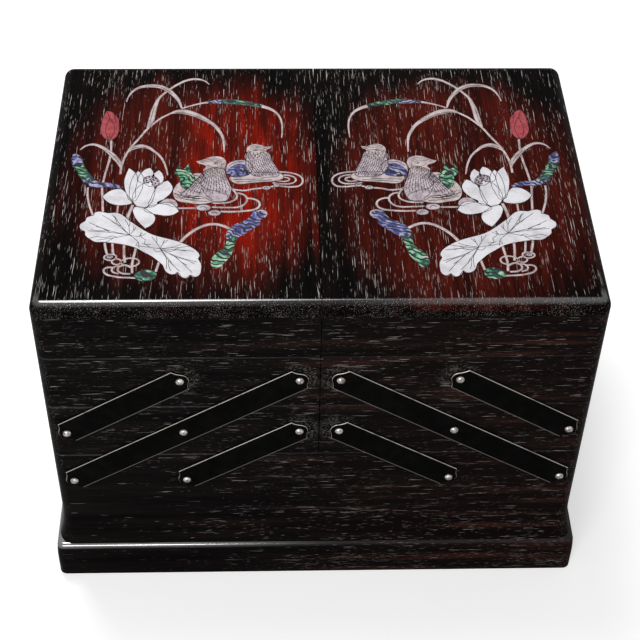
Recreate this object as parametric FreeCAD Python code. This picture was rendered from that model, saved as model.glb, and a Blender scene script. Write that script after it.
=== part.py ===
import FreeCAD, Part
import math
import os

# An expanding wooden box in two mirrored halves. A moulded base carries, on each side, a lower tray,
# an upper tray and a lid. Flat metal arms, pivoted on domed pins, carry the trays up and outwards.
# X runs along the front, with 0 at the seam between the halves. Y runs from front to back, with 0 in
# the middle of the depth. Z is up from the surface that the box stands on. Millimetres throughout.

Vector = FreeCAD.Vector

# Body
body_width = 300.0
body_depth = 208.0
wall = 8.0
corner_radius = 6.0
edge_easing = 0.5
seam_gap = 0.4
layer_gap = 0.3

# Layers, from the floor up
base_height = 105.4
lower_tray_height = 40.2
upper_tray_height = 38.2
lid_rail_height = 29.6
lid_board_thickness = 8.3
lid_edge_radius = 6.0

# Base moulding: a long cove that flares out to a plinth with a rounded nose
plinth_height = 27.5
plinth_projection = 6.1
plinth_belly = 12.5
plinth_fall_radius = 113.0
plinth_nose_radius = 2.4
plinth_corner_radius = 4.5
cove_height = 26.5
cove_projection = 3.9

# Panels let into grooves, and the cloth linings on them
base_panel_thickness = 5.0
base_panel_level = 32.0
tray_panel_thickness = 3.0
tray_panel_level = 2.5
groove_depth = 3.0
panel_clearance = 0.1
lining_thickness = 3.0
lining_clearance = 0.5
lining_edge = 1.2

# Linkage: every arm turns from the same closed angle, so its run and rise are shared
pivot_inset = 11.0
pivot_spacing = 64.1
pivot_run = 64.1
pivot_rise = 41.6
base_pivot_level = 84.7
arm_width = 16.2
arm_thickness = 1.2
arm_edge = 0.3
arm_nose_radius = 4.8
arm_nose_angle = 52.0
arm_clip_hollow = 0.35
arm_gap = 0.2

# Pivot pins
pin_head_diameter = 5.0
pin_head_height = 1.6
pin_crown_angle = 48.0
pin_shank_diameter = 2.6
pin_depth = 6.0
pin_tip = 1.3
turned_sides = 8
pin_head_gap = 0.15
pin_running_clearance = 0.08
pin_bore_clearance = 0.04

# Lid hinges, one near each end of a lid's outer side
hinge_length = 25.0
hinge_spacing = 120.0
hinge_knuckles = 3
hinge_knuckle_gap = 0.2
hinge_barrel_diameter = 4.0
hinge_pin_diameter = 1.6
hinge_pin_clearance = 0.05
hinge_pin_sides = 8
hinge_leaf_width = 6.5
hinge_leaf_thickness = 1.0
hinge_stand_off = 0.25
mortise_clearance = 0.1

# Levels worked out from the heights
lower_tray_level = base_height + layer_gap
upper_tray_level = lower_tray_level + lower_tray_height + layer_gap
lid_level = upper_tray_level + upper_tray_height + layer_gap
lid_board_level = lid_level + lid_rail_height
overall_height = lid_board_level + lid_board_thickness

# Places worked out from the body
half_width = body_width / 2
half_depth = body_depth / 2
seam_side = -seam_gap / 2
inner_column = -pivot_inset
middle_column = inner_column - pivot_run
outer_column = middle_column - pivot_spacing
closed_angle = math.degrees(math.atan2(pivot_rise, pivot_run))
arm_length = math.hypot(pivot_run, pivot_rise)
first_pivot_level = base_pivot_level
second_pivot_level = first_pivot_level + pivot_rise
third_pivot_level = second_pivot_level + pivot_rise
small = 0.001


# Shapes shared by the sub-parts


def block(x_range, y_range, z_range):
    """Return a box from its lowest and highest x, y and z."""
    size = [high - low for low, high in (x_range, y_range, z_range)]
    return Part.makeBox(*size, Vector(x_range[0], y_range[0], z_range[0]))


def grown(span, amount):
    """Return a range made larger at both ends, or smaller if the amount is negative."""
    return (span[0] - amount, span[1] + amount)


def prism(points, z_range):
    """Return an upright prism on a polygon of (x, y) points."""
    corners = [Vector(x, y, z_range[0]) for x, y in points]
    outline = Part.makePolygon(corners + corners[:1])
    return Part.Face(outline).extrude(Vector(0, 0, z_range[1] - z_range[0]))


def edges_with(shape, test):
    """Return the edges whose end points all pass a test."""
    return [edge for edge in shape.Edges if all(test(vertex.Point) for vertex in edge.Vertexes)]


def rounded_block(x_range, y_range, z_range, radius):
    """Return a box with its corners rounded on the outer side, and square at the seam."""
    shape = block(x_range, y_range, z_range)
    corners = [edge for edge in edges_with(shape, lambda p: p.x < x_range[0] + small)
               if abs(edge.Vertexes[0].Z - edge.Vertexes[-1].Z) > small]
    return shape.makeFillet(radius, corners)


def eased_rims(shape, levels):
    """Break the sharp rims at the given levels, all the way round."""
    rims = edges_with(shape, lambda p: any(abs(p.z - level) < small for level in levels))
    flat = [edge for edge in rims if abs(edge.Vertexes[0].Z - edge.Vertexes[-1].Z) < small]
    return shape.makeChamfer(edge_easing, flat)


def mitred(ring, x_range, y_range, z_range, reach):
    """Cut a rectangular frame into its four rails along the 45 degree mitres.

    The mitres pass through the corners of x_range and y_range, and reach is how far the
    mouldings of the frame stand outside those corners.
    """
    def corners(amount):
        """Return the four corners, moved out along their mitres by an amount."""
        (x_low, x_high), (y_low, y_high) = grown(x_range, amount), grown(y_range, amount)
        return {
            ("low", "front"): (x_low, y_low),
            ("low", "back"): (x_low, y_high),
            ("high", "front"): (x_high, y_low),
            ("high", "back"): (x_high, y_high),
        }

    outside, inside = corners(reach), corners(-wall * 1.5)
    mitres = {
        "front": (("low", "front"), ("high", "front")),
        "back": (("low", "back"), ("high", "back")),
        "low": (("low", "front"), ("low", "back")),
        "high": (("high", "front"), ("high", "back")),
    }
    rails = {}
    for side, (first, last) in mitres.items():
        wedge = prism([outside[first], outside[last], inside[last], inside[first]], z_range)
        rails[side] = ring.common(wedge)
    return rails


def groove(x_range, y_range, level, thickness):
    """Return the space that a panel's groove takes out of the walls round it."""
    z_range = (level, level + thickness + panel_clearance)
    return block(grown(x_range, groove_depth), grown(y_range, groove_depth), z_range)


def panel(x_range, y_range, level, thickness):
    """Return a thin board whose edges sit in the groove."""
    engaged = groove_depth - panel_clearance
    return block(grown(x_range, engaged), grown(y_range, engaged), (level, level + thickness))


def lining(x_range, y_range, level):
    """Return a cloth pad that lies on a panel, just clear of the walls."""
    z_range = (level, level + lining_thickness)
    pad = block(grown(x_range, -lining_clearance), grown(y_range, -lining_clearance), z_range)
    rim = edges_with(pad, lambda p: p.z > z_range[1] - small)
    return pad.makeChamfer(lining_edge, rim)


# Turned pieces: small and many, so each is turned with a few flat sides


def turned(x, z, profile, sides):
    """Return a solid turned about a line along Y through x and z.

    profile is a list of (radius, y) points from one end to the other, starting and ending on the line.
    """
    def ring(radius, y):
        """Return the points of one ring, or the one point where the radius is nothing."""
        if radius == 0:
            return [Vector(x, y, z)] * sides
        turns = [2 * math.pi * side / sides for side in range(sides)]
        return [Vector(x + radius * math.cos(turn), y, z + radius * math.sin(turn)) for turn in turns]

    faces = []
    rings = [ring(radius, y) for radius, y in profile]
    for lower, upper in zip(rings, rings[1:]):
        for side in range(sides):
            after = (side + 1) % sides
            corners = [lower[side]]
            for point in (lower[after], upper[after], upper[side]):
                if point.distanceToPoint(corners[-1]) > small and point.distanceToPoint(corners[0]) > small:
                    corners.append(point)
            faces.append(Part.Face(Part.makePolygon(corners + corners[:1])))
    return Part.Solid(Part.makeShell(faces))


def turned_bar(radius, x, z, y_range, sides):
    """Return a plain turned bar."""
    low, high = y_range
    return turned(x, z, [(0, low), (radius, low), (radius, high), (0, high)], sides)


def round_bar(radius, x, z, y_range):
    """Return a truly round bar."""
    low, high = y_range
    return Part.makeCylinder(radius, high - low, Vector(x, low, z), Vector(0, 1, 0))


def turned_hole(radius, x, z, y_range, sides):
    """Return the space of a hole that clears a bar of the given radius at every angle."""
    return turned_bar(radius / math.cos(math.pi / sides), x, z, y_range, sides)


# Pivot pins: a low dome over a flat seat, and a shank with a pointed tip


def pin(x, z):
    """Return one front pin with its axis at x and z."""
    seat = -half_depth - arm_gap - arm_thickness - pin_head_gap
    head, shank = pin_head_diameter / 2, pin_shank_diameter / 2
    end = -half_depth + pin_depth
    crown = math.radians(pin_crown_angle)
    shoulder = (head * math.sin(crown), seat - pin_head_height * math.cos(crown))
    domed_head = [(0, seat - pin_head_height), shoulder, (head, seat)]
    pointed_shank = [(shank, seat), (shank, end - pin_tip), (0, end)]
    return turned(x, z, domed_head + pointed_shank, turned_sides)


def pin_bore(x, z):
    """Return the blind bore in the wood that one front pin is driven into."""
    radius = pin_shank_diameter / 2 + pin_bore_clearance
    y_range = (-half_depth - wall, -half_depth + pin_depth + pin_bore_clearance)
    return turned_hole(radius, x, z, y_range, turned_sides)


def front_and_back(shape):
    """Return a front shape and its copy at the back."""
    return [shape, shape.mirror(Vector(0, 0, 0), Vector(0, 1, 0))]


def left_and_right(shape):
    """Return a left shape and its copy on the right."""
    return [shape, shape.mirror(Vector(0, 0, 0), Vector(1, 0, 0))]


def pins_and_bores(places):
    """Return the pins at the given (x, z) places, front and back, and the bores that hold them."""
    pins = [copy for x, z in places for copy in front_and_back(pin(x, z))]
    bores = [copy for x, z in places for copy in front_and_back(pin_bore(x, z))]
    return pins, Part.makeCompound(bores)


# Base: four walls with a coved foot, a floor panel in a groove, and a mitred plinth under them


def arc(centre, radius, first, last):
    """Return an arc in X and Z about (x, z), between two angles in degrees up from +X."""
    points = []
    for angle in (first, (first + last) / 2, last):
        turn = math.radians(angle)
        points.append(Vector(centre[0] + radius * math.cos(turn), 0, centre[1] + radius * math.sin(turn)))
    return Part.Arc(*points).toShape()


def line(first, last):
    """Return a straight edge in X and Z."""
    return Part.makeLine(Vector(first[0], 0, first[1]), Vector(last[0], 0, last[1]))


def section(outline, face):
    """Return the section between a moulding's outline, moved out to a face, and the line X = 0."""
    wire = Part.Wire(Part.__sortEdges__(outline))
    wire.translate(Vector(face, 0, 0))
    ends = sorted((vertex.Point for vertex in wire.Vertexes), key=lambda p: p.z)
    foot, top = ends[0], ends[-1]
    closing = [
        line((foot.x, foot.z), (0, foot.z)),
        line((0, foot.z), (0, top.z)),
        line((0, top.z), (top.x, top.z)),
    ]
    return Part.Face(Part.Wire(Part.__sortEdges__(wire.Edges + closing)))


def moulded_block(outline, corner):
    """Return the solid that a moulding makes when it runs round all four sides.

    outline holds the edges of its outer face from foot to top, with X measured out from the body's
    face. Each corner turns about an upright line that lies corner inside the body's two faces.
    """
    origin, up = Vector(0, 0, 0), Vector(0, 0, 1)
    x_axis, y_axis = half_width - corner, half_depth - corner
    pieces = []
    for half, reach, turn in ((half_width, y_axis, 0), (half_depth, x_axis, 90)):
        run = section(outline, half).extrude(Vector(0, 2 * reach, 0))
        run.translate(Vector(0, -reach, 0))
        for side in (turn, turn + 180):
            pieces.append(run.rotated(origin, up, side))
    quarter = section(outline, corner).revolve(origin, up, 90)
    for turn, x, y in ((0, 1, 1), (90, -1, 1), (180, -1, -1), (270, 1, -1)):
        pieces.append(quarter.rotated(origin, up, turn).translated(Vector(x * x_axis, y * y_axis, 0)))
    return pieces[0].fuse(pieces[1:]).removeSplitter()


def wall_outline():
    """Return the outer face of the base wall, with its cove at the foot and both rims eased."""
    foot, rim = plinth_height + edge_easing, base_height - edge_easing
    cove_top = plinth_height + cove_height
    rise = cove_top - foot
    radius = (cove_projection ** 2 + rise ** 2) / (2 * cove_projection)
    sweep = math.degrees(math.asin(rise / radius))
    return [
        line((cove_projection - edge_easing, plinth_height), (cove_projection, foot)),
        arc((radius, cove_top), radius, 180 + sweep, 180),
        line((0, cove_top), (0, rim)),
        line((0, rim), (-edge_easing, base_height)),
    ]


def plinth_outline():
    """Return the outer face of the plinth, which falls back a little below its rounded nose."""
    outer = plinth_projection
    nose_level = plinth_height - plinth_nose_radius
    slope = math.asin((nose_level - plinth_belly) / (plinth_fall_radius - plinth_nose_radius))
    fall_centre = outer - plinth_fall_radius
    nose_centre = fall_centre + (plinth_fall_radius - plinth_nose_radius) * math.cos(slope)
    return [
        line((outer, 0), (outer, plinth_belly)),
        arc((fall_centre, plinth_belly), plinth_fall_radius, 0, math.degrees(slope)),
        arc((nose_centre, nose_level), plinth_nose_radius, math.degrees(slope), 90),
    ]


def base_parts():
    """Return the base's walls, floor, lining, plinth rails and pins."""
    x_range, y_range = (-half_width, half_width), (-half_depth, half_depth)
    x_inside, y_inside = grown(x_range, -wall), grown(y_range, -wall)
    z_range = (plinth_height, base_height)

    places = [(x, first_pivot_level) for column in (outer_column, middle_column) for x in (column, -column)]
    pins, bores = pins_and_bores(places)

    walls = moulded_block(wall_outline(), corner_radius)
    walls = walls.cut(block(x_inside, y_inside, z_range))
    walls = walls.cut(groove(x_inside, y_inside, base_panel_level, base_panel_thickness)).cut(bores)

    rails = moulded_block(plinth_outline(), plinth_corner_radius - plinth_projection)
    rails = rails.cut(block(x_inside, y_inside, (0, plinth_height)))

    reach = 2 * plinth_projection
    parts = {}
    for kind, ring in (("base", walls), ("plinth", rails)):
        sides = mitred(ring, x_range, y_range, (0, base_height), reach)
        parts[kind + "_front"] = sides["front"]
        parts[kind + "_back"] = sides["back"]
        parts[kind + "_left_side"] = sides["low"]
        parts[kind + "_right_side"] = sides["high"]
    parts["base_bottom"] = panel(x_inside, y_inside, base_panel_level, base_panel_thickness)
    parts["base_lining"] = lining(x_inside, y_inside, base_panel_level + base_panel_thickness)
    parts["base_pivot_pins"] = Part.makeCompound(pins)
    return parts


# Lid hinges: butt leaves let into the edges where lid and tray meet, with the barrel outside


hinge_axis_x = -half_width - hinge_barrel_diameter / 2 - hinge_stand_off
hinge_axis_z = lid_level - layer_gap / 2
hinge_places = [-hinge_spacing / 2, hinge_spacing / 2]
knuckle_pitch = hinge_length / hinge_knuckles


def knuckle_spans(y, first):
    """Return the y ranges of every second knuckle of a hinge centred at y."""
    spans = []
    for index in range(first, hinge_knuckles, 2):
        start = y - hinge_length / 2 + index * knuckle_pitch
        spans.append((start + hinge_knuckle_gap / 2, start + knuckle_pitch - hinge_knuckle_gap / 2))
    return spans


def leaf_levels(above):
    """Return the z range of a leaf, which lies flush with the wood above or below the gap."""
    if above:
        return (lid_level, lid_level + hinge_leaf_thickness)
    top = lid_level - layer_gap
    return (top - hinge_leaf_thickness, top)


def hinge_leaf(y, above):
    """Return one leaf, with the knuckles rolled from it."""
    z_range = leaf_levels(above)
    plate = (-half_width, -half_width + hinge_leaf_width)
    leaf = block(plate, (y - hinge_length / 2, y + hinge_length / 2), z_range)
    for span in knuckle_spans(y, 1 if above else 0):
        tongue = block((hinge_axis_x, plate[0] + small), span, z_range)
        knuckle = turned_bar(hinge_barrel_diameter / 2, hinge_axis_x, hinge_axis_z, span, turned_sides)
        leaf = leaf.fuse([tongue, knuckle])
    radius = hinge_pin_diameter / 2 + hinge_pin_clearance
    bore = turned_hole(radius, hinge_axis_x, hinge_axis_z, grown((y, y), hinge_length), hinge_pin_sides)
    return leaf.cut(bore).removeSplitter()


def hinge_pin(y):
    """Return the pin that the knuckles of one hinge turn on."""
    y_range = grown((y, y), hinge_length / 2)
    return round_bar(hinge_pin_diameter / 2, hinge_axis_x, hinge_axis_z, y_range)


def hinge_mortise(y, above):
    """Return the recess that one leaf lies in."""
    z_low, z_high = leaf_levels(above)
    z_range = (z_low, z_high + mortise_clearance) if above else (z_low - mortise_clearance, z_high)
    y_range = (y - hinge_length / 2 - mortise_clearance, y + hinge_length / 2 + mortise_clearance)
    return block((-half_width - 1, -half_width + hinge_leaf_width + mortise_clearance), y_range, z_range)


def hinge_parts():
    """Return the leaves on the lid, and the leaves on the tray with the hinge pins."""
    tray_side = [hinge_leaf(y, False) for y in hinge_places]
    pins = [hinge_pin(y) for y in hinge_places]
    return {
        "left_hinge_lid_leaves": Part.makeCompound([hinge_leaf(y, True) for y in hinge_places]),
        "left_hinge_tray_leaves": Part.makeCompound(tray_side + pins),
    }


# Trays and lids, made for the left half


def named_sides(prefix, sides, front, back, inner, outer):
    """Return the four rails of a frame under the names that they go by."""
    return {
        prefix + front: sides["front"],
        prefix + back: sides["back"],
        prefix + outer: sides["low"],
        prefix + inner: sides["high"],
    }


def tray_parts(name, level, height, pin_places, mortises):
    """Return a tray: four mitred walls round a bottom panel, with its lining and its pins."""
    x_range, y_range = (-half_width, seam_side), (-half_depth, half_depth)
    x_inside, y_inside = grown(x_range, -wall), grown(y_range, -wall)
    z_range = (level, level + height)
    pins, bores = pins_and_bores(pin_places)

    ring = eased_rims(rounded_block(x_range, y_range, z_range, corner_radius), z_range)
    ring = ring.cut(block(x_inside, y_inside, z_range))
    ring = ring.cut(groove(x_inside, y_inside, level + tray_panel_level, tray_panel_thickness)).cut(bores)
    for mortise in mortises:
        ring = ring.cut(mortise)

    prefix = "left_" + name + "_"
    sides = mitred(ring, x_range, y_range, z_range, wall)
    parts = named_sides(prefix, sides, "front", "back", "inner_side", "outer_side")
    panel_top = level + tray_panel_level + tray_panel_thickness
    parts[prefix + "bottom"] = panel(x_inside, y_inside, level + tray_panel_level, tray_panel_thickness)
    parts[prefix + "lining"] = lining(x_inside, y_inside, panel_top)
    parts[prefix + "pivot_pins"] = Part.makeCompound(pins)
    return parts


def lid_parts():
    """Return a lid: a board with its outer edges rounded, on four mitred rails."""
    x_range, y_range = (-half_width, seam_side), (-half_depth, half_depth)
    z_range = (lid_level, lid_board_level)
    x_inside, y_inside = grown(x_range, -wall), grown(y_range, -wall)

    ring = rounded_block(x_range, y_range, z_range, corner_radius)
    ring = eased_rims(ring, z_range[:1])
    ring = ring.cut(block(x_inside, y_inside, z_range))
    for y in hinge_places:
        ring = ring.cut(hinge_mortise(y, True))

    board = rounded_block(x_range, y_range, (lid_board_level, overall_height), corner_radius)
    top_edges = edges_with(board, lambda p: p.z > overall_height - small)
    outer_edges = [edge for edge in top_edges if min(point.X for point in edge.Vertexes) < seam_side - small]
    board = board.makeFillet(lid_edge_radius, outer_edges)

    sides = mitred(ring, x_range, y_range, z_range, wall)
    parts = named_sides("left_lid_", sides, "front_rail", "back_rail", "inner_rail", "outer_rail")
    parts["left_lid_board"] = board
    return parts


# Arms: flat bars whose ends narrow, by slightly hollow clips, to a nose that is round about the last pivot


def arm(foot, stages):
    """Return the front arm that climbs inwards from its foot pivot over one or two stages.

    foot is the (x, z) of its lowest pivot, and it has one pivot hole at each end of every stage.
    """
    length = stages * arm_length
    half = arm_width / 2
    face_level = -half_depth - arm_gap
    nose_u = arm_nose_radius * math.cos(math.radians(arm_nose_angle))
    nose_v = arm_nose_radius * math.sin(math.radians(arm_nose_angle))
    clip_length = math.hypot(nose_u, half - nose_v)
    hollow_u = arm_clip_hollow * (half - nose_v) / clip_length
    hollow_v = arm_clip_hollow * nose_u / clip_length

    def place(u, v):
        """Return the point u along the arm from its foot pivot and v to its upper side."""
        slope = math.radians(closed_angle)
        x = foot[0] + u * math.cos(slope) - v * math.sin(slope)
        z = foot[1] + u * math.sin(slope) + v * math.cos(slope)
        return Vector(x, face_level, z)

    def clip(end, outwards, side):
        """Return the hollow clip at one end and side, from the long edge to the nose."""
        start = place(end, side * half)
        bend = place(end + outwards * (nose_u / 2 - hollow_u), side * ((half + nose_v) / 2 - hollow_v))
        return Part.Arc(start, bend, place(end + outwards * nose_u, side * nose_v)).toShape()

    def nose(end, outwards):
        """Return the round nose at one end."""
        sides = [place(end + outwards * nose_u, side * nose_v) for side in (-1, 1)]
        return Part.Arc(sides[0], place(end + outwards * arm_nose_radius, 0), sides[1]).toShape()

    edges = [Part.makeLine(place(0, side * half), place(length, side * half)) for side in (-1, 1)]
    for end, outwards in ((0, -1), (length, 1)):
        edges.append(nose(end, outwards))
        edges += [clip(end, outwards, side) for side in (-1, 1)]
    outline = Part.Face(Part.Wire(Part.__sortEdges__(edges)))
    bar = outline.extrude(Vector(0, -arm_thickness, 0))
    outside = face_level - arm_thickness
    bar = bar.makeChamfer(arm_edge, edges_with(bar, lambda p: p.y < outside + small))
    hole_radius = pin_shank_diameter / 2 + pin_running_clearance
    for stage in range(stages + 1):
        centre = place(stage * arm_length, 0)
        through = (face_level - 2 * arm_thickness, face_level + arm_thickness)
        bar = bar.cut(turned_hole(hole_radius, centre.x, centre.z, through, turned_sides))
    return bar


def arm_parts():
    """Return the left arms, each set with its front and back copies."""
    sets = {
        "left_long_arms": arm((outer_column, first_pivot_level), 2),
        "left_lower_arms": arm((middle_column, first_pivot_level), 1),
        "left_upper_arms": arm((outer_column, second_pivot_level), 1),
    }
    return {name: Part.makeCompound(front_and_back(bar)) for name, bar in sets.items()}


# Everything that the left half repeats on the right


def left_half():
    """Return every sub-part of the left half."""
    lower_pins = [(x, second_pivot_level) for x in (outer_column, middle_column, inner_column)]
    upper_pins = [(x, third_pivot_level) for x in (middle_column, inner_column)]
    mortises = [hinge_mortise(y, False) for y in hinge_places]
    parts = tray_parts("lower_tray", lower_tray_level, lower_tray_height, lower_pins, [])
    parts.update(tray_parts("upper_tray", upper_tray_level, upper_tray_height, upper_pins, mortises))
    parts.update(lid_parts())
    parts.update(hinge_parts())
    parts.update(arm_parts())
    return parts


def right_half(left):
    """Return the mirror image of the left half."""
    return {name.replace("left_", "right_", 1): left_and_right(shape)[1] for name, shape in left.items()}


def main():
    """Build every sub-part and write each to its own file."""
    parts = base_parts()
    left = left_half()
    parts.update(left)
    parts.update(right_half(left))
    os.makedirs("parts", exist_ok=True)
    for name, shape in parts.items():
        shape.exportStep("parts/" + name + ".step")
    travel = 180 - 2 * closed_angle
    print(len(parts), "sub-parts, arms turn", round(travel, 3), "degrees from closed to open")


main()
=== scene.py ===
"""Looks of an expanding wooden box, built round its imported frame.

The box has two mirrored halves. On each half a lower tray, an upper tray and a lid swing outwards on flat
arms. The wood is a dark open-pored hardwood under satin lacquer, and the lids carry a pearl shell inlay.
"""

import logging
import math
from contextlib import contextmanager
from dataclasses import dataclass, field
from enum import Enum
from functools import reduce
from typing import Callable, Iterable, Iterator, Sequence

import bpy
from mathutils import Matrix, Vector


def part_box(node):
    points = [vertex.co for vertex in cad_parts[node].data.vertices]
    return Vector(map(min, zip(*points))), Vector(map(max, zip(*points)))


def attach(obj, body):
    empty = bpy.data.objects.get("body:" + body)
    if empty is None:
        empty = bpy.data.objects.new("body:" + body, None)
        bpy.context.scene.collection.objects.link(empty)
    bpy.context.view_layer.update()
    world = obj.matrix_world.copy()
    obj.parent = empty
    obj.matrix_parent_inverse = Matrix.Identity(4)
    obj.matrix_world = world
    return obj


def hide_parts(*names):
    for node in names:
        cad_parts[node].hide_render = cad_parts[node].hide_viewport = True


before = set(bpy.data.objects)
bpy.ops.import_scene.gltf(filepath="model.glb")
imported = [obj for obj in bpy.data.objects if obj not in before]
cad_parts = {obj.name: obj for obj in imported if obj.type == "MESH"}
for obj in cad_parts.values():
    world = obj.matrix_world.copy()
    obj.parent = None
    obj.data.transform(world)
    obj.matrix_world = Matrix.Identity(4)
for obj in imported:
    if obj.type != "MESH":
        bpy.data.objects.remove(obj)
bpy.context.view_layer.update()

log = logging.getLogger("box")

MM = 0.001  # one millimetre, in metres
Colour = tuple[float, float, float]
Point = tuple[float, float]
Span = tuple[float, float]
Piece = bpy.types.Object
Material = bpy.types.Material


# The arms' linkage


@dataclass(frozen=True)
class Linkage:
    """Where the arms' pivots lie on the closed box, in millimetres out from the seam and up."""

    inset: float = 11.0
    spacing: float = 64.1
    run: float = 64.1
    rise: float = 41.6
    base_level: float = 84.7
    arm_width: float = 16.2

    def columns(self) -> tuple[float, float, float]:
        """Return how far the inner, middle and outer columns of pivots are from the seam."""
        middle = self.inset + self.run
        return self.inset, middle, middle + self.spacing

    def levels(self) -> list[float]:
        """Return the heights of the three rows of pivots, from the lowest."""
        return [self.base_level + self.rise * step for step in range(3)]

    def noses(self) -> list[Point]:
        """Return the pivots at the inner ends of the three arms of one half."""
        inner, middle, _ = self.columns()
        _, second, third = self.levels()
        return [(inner, second), (inner, third), (middle, third)]

    def heights(self, x: "Signal | float", z: "Signal | float") -> "Signal | float":
        """Return how high a place is, measured square to the slope of the closed arms."""
        slope = math.atan2(self.rise, self.run)
        return x * math.sin(slope) + z * math.cos(slope)

    def lower_edges(self) -> list[float]:
        """Return the height of the lower edge of each of the three arms, measured like `heights`."""
        return [self.heights(*nose) - self.arm_width / 2 for nose in self.noses()]


LINKAGE = Linkage()


# Shader maths


def arithmetic(operation: str, swapped: bool = False) -> Callable[..., "Signal"]:
    """Return a method that works out a Math node on a signal and another value.

    Args:
        operation: The Math node's operation.
        swapped: Whether the other value comes first, as in 1 - mask.

    Returns:
        The method.
    """

    def method(self: "Signal", other: "Signal | float") -> "Signal":
        """Return the result."""
        return self.maths(operation, *((other, self) if swapped else (self, other)))

    return method


class Signal:
    """A number, colour or vector that a material's nodes work out.

    Arithmetic on it adds Math nodes, and `node` adds any other node.
    """

    def __init__(self, tree: bpy.types.NodeTree, socket: bpy.types.NodeSocket) -> None:
        """Wrap the output socket of a node in the tree."""
        self.tree = tree
        self.socket = socket

    def node(self, kind: str, settings: dict, inputs: dict, output: int | str = 0) -> "Signal":
        """Add a node and return one of its outputs.

        Args:
            kind: The node's type, without its "ShaderNode" prefix.
            settings: Properties that are set before the sockets, with a ramp's stops under "stops".
            inputs: A value, or a Signal to link, for each socket by name or number.
            output: The name or number of the output to return.

        Returns:
            The output, ready for more arithmetic.
        """
        made = self.tree.nodes.new("ShaderNode" + kind)
        for name, value in settings.items():
            if name == "stops":
                set_stops(made.color_ramp, value)
            else:
                setattr(made, name, value)
        for name, value in inputs.items():
            if isinstance(value, Signal):
                self.tree.links.new(value.socket, made.inputs[name])
            else:
                made.inputs[name].default_value = value
        return Signal(self.tree, made.outputs[output])

    def maths(self, operation: str, *values: "Signal | float") -> "Signal":
        """Return a Math node's result on the given values."""
        return self.node("Math", {"operation": operation}, dict(enumerate(values)))

    __add__ = arithmetic("ADD")
    __radd__ = arithmetic("ADD", swapped=True)
    __sub__ = arithmetic("SUBTRACT")
    __rsub__ = arithmetic("SUBTRACT", swapped=True)
    __mul__ = arithmetic("MULTIPLY")
    __rmul__ = arithmetic("MULTIPLY", swapped=True)
    __truediv__ = arithmetic("DIVIDE")
    __pow__ = arithmetic("POWER")
    at_least = arithmetic("MAXIMUM")
    at_most = arithmetic("MINIMUM")

    def __abs__(self) -> "Signal":
        """Return the size without its sign."""
        return self.maths("ABSOLUTE", self)

    def ramp(self, low: float, high: float, bottom: float = 0.0, top: float = 1.0) -> "Signal":
        """Return a smooth step from bottom at low to top at high.

        Args:
            low: The value at which the step starts, which may lie above `high`.
            high: The value at which it ends.
            bottom: The result at `low` and beyond.
            top: The result at `high` and beyond.

        Returns:
            The stepped value.
        """
        if low > high:
            low, high, bottom, top = high, low, top, bottom
        limits = {"Value": self, 1: low, 2: high, 3: bottom, 4: top}
        return self.node("MapRange", {"interpolation_type": "SMOOTHSTEP"}, limits)

    def tint(self, low: "Signal | Colour", high: "Signal | Colour") -> "Signal":
        """Return a colour between two, with this number from 0 to 1 as the share of the second."""
        ends = {0: self, 6: with_alpha(low), 7: with_alpha(high)}
        return self.node("Mix", {"data_type": "RGBA"}, ends, 2)

    def part(self, name: str) -> "Signal":
        """Return one part, "X", "Y" or "Z", of a vector."""
        return self.node("SeparateXYZ", {}, {0: self}, name)

    def scaled(self, factors: Sequence[float], offset: "Signal | Sequence[float]" = (0, 0, 0)) -> "Signal":
        """Return a vector multiplied by one factor for each axis, and moved."""
        settings = {"operation": "MULTIPLY_ADD"}
        return self.node("VectorMath", settings, {0: self, 1: tuple(factors), 2: offset})

    def sibling(self, output: str) -> "Signal":
        """Return another output of the node that this one comes from."""
        return Signal(self.tree, self.socket.node.outputs[output])

    def palette(self, stops: Sequence[tuple[float, Colour]]) -> "Signal":
        """Return a colour from a ramp of stops, with this number as the place on it."""
        return self.node("ValToRGB", {"stops": stops}, {0: self})

    def noise(self, detail: float = 2.0, roughness: float = 0.5) -> "Signal":
        """Return smooth noise from 0 to 1 on this vector, one lump to a unit."""
        values = {"Vector": self, "Scale": 1.0, "Detail": detail, "Roughness": roughness}
        return self.node("TexNoise", {}, values)


def distance(x: Signal, y: Signal, centre: Point) -> Signal:
    """Return how far each point (x, y) is from a centre."""
    return ((x - centre[0]) ** 2 + (y - centre[1]) ** 2) ** 0.5


def set_stops(ramp: bpy.types.ColorRamp, stops: Sequence[tuple[float, Colour]]) -> None:
    """Give a colour ramp its stops, each a place from 0 to 1 and a colour."""
    while len(ramp.elements) < len(stops):
        ramp.elements.new(1.0)
    for element, (place, colour) in zip(ramp.elements, stops):
        element.position = place
        element.color = with_alpha(colour)


def with_alpha(colour: "Signal | Colour") -> "Signal | tuple[float, ...]":
    """Return a plain colour with its alpha, and leave a signal as it is."""
    return colour if isinstance(colour, Signal) else (*colour, 1.0)


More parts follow.
